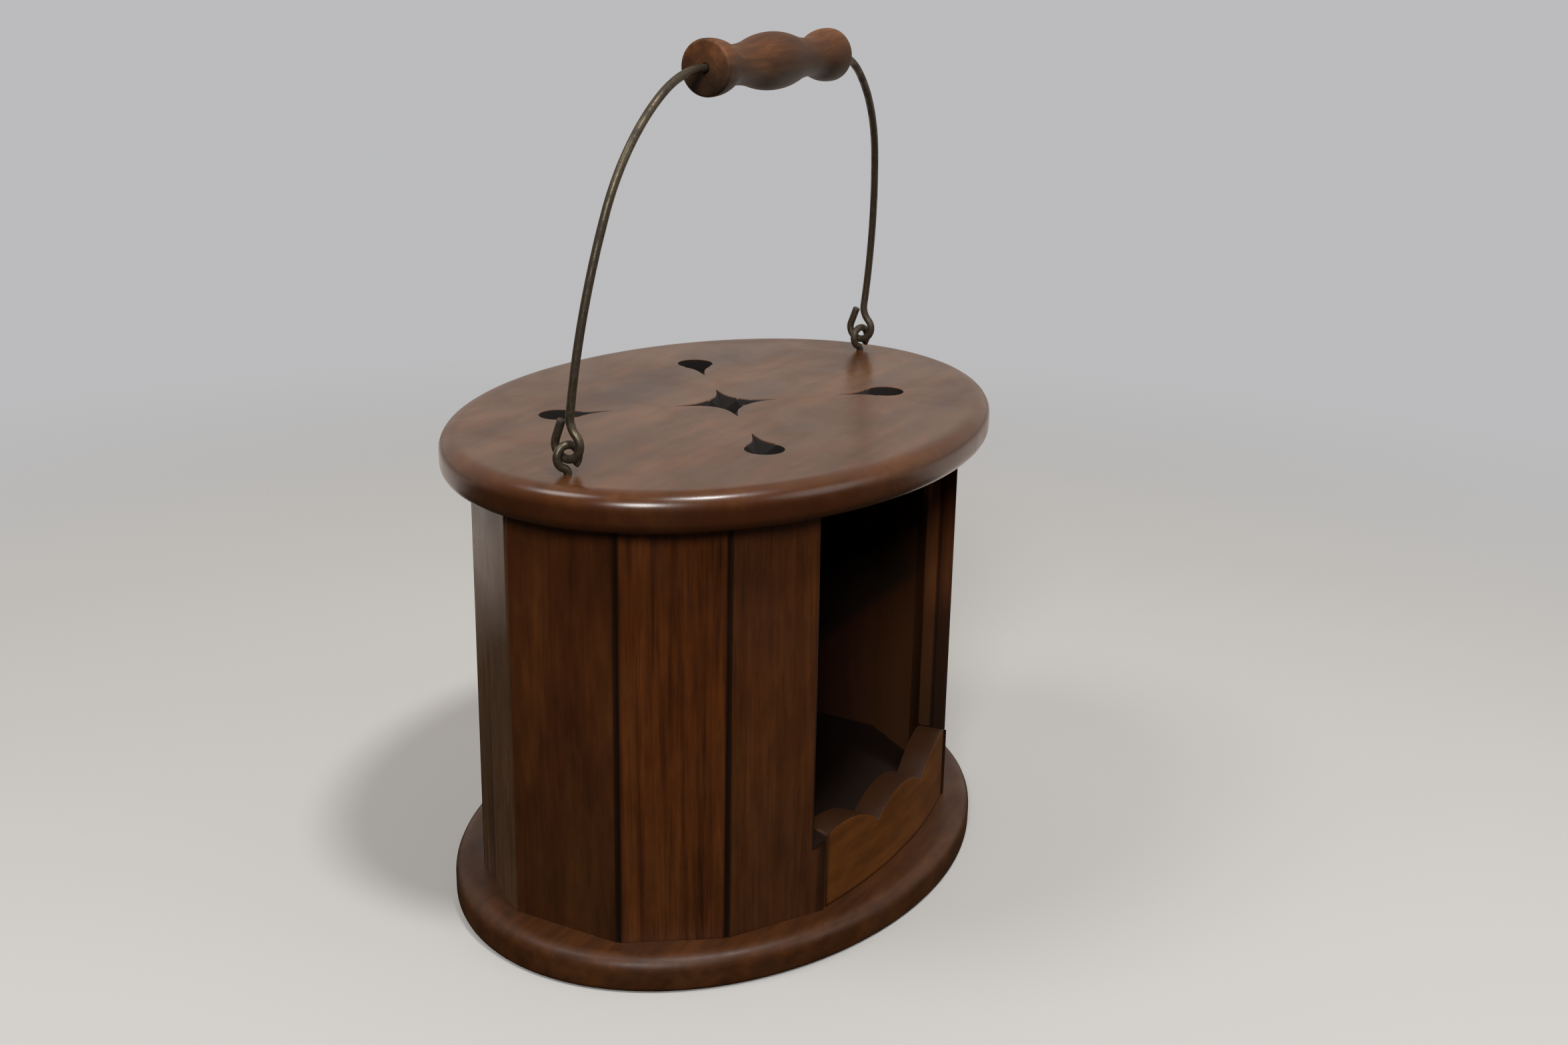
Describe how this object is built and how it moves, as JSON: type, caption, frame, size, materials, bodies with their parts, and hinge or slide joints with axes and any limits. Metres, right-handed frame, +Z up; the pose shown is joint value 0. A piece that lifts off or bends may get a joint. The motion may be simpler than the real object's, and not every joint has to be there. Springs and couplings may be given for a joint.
{
  "type": "foot warmer",
  "caption": "Oval wooden foot warmer: staved wall with a scalloped doorway, pierced top board, and a swinging wire bail with a turned grip.",
  "frame": {"origin": "middle of the base board's underside, on the surface that the foot warmer stands on", "axes": "+Z up, +X along the oval's long axis, -Y towards the open front with the scalloped sill"},
  "size_m": [0.3, 0.225, 0.3788],
  "materials": {
    "board_wood": "dark varnished hardwood, satin, worn at the rims",
    "stave_wood": "dark stained and varnished hardwood, satin",
    "grip_wood": "turned hardwood, stain worn pale by hands",
    "wire_iron": "patinated iron wire",
    "nail_iron": "rust-brown cut nails"
  },
  "bodies": {
    "warmer": {"top_board": "board_wood", "base_board": "board_wood", "jamb_stave_right": "stave_wood", "flank_stave_front_right": "stave_wood", "end_stave_right": "stave_wood", "flank_stave_back_right": "stave_wood", "quarter_stave_back_right": "stave_wood", "back_stave_right": "stave_wood", "back_stave_left": "stave_wood", "quarter_stave_back_left": "stave_wood", "flank_stave_back_left": "stave_wood", "end_stave_left": "stave_wood", "flank_stave_front_left": "stave_wood", "jamb_stave_left": "stave_wood", "front_apron": "stave_wood", "base_nails": "nail_iron", "screw_eye_left": "wire_iron", "screw_eye_right": "wire_iron"},
    "bail": {"bail_wire": "wire_iron"},
    "grip": {"grip": "grip_wood"}
  },
  "joints": [
    {"name": "bail_swing", "type": "hinge", "parent": "warmer", "child": "bail", "pos_m": [0, -0.0034, 0.2278], "axis": [1, 0, 0], "range_deg": [-105, 92]},
    {"name": "grip_spin", "type": "hinge", "parent": "bail", "child": "grip", "pos_m": [0, -0.01986, 0.36683], "axis": [1, 0, 0], "continuous": true}
  ]
}
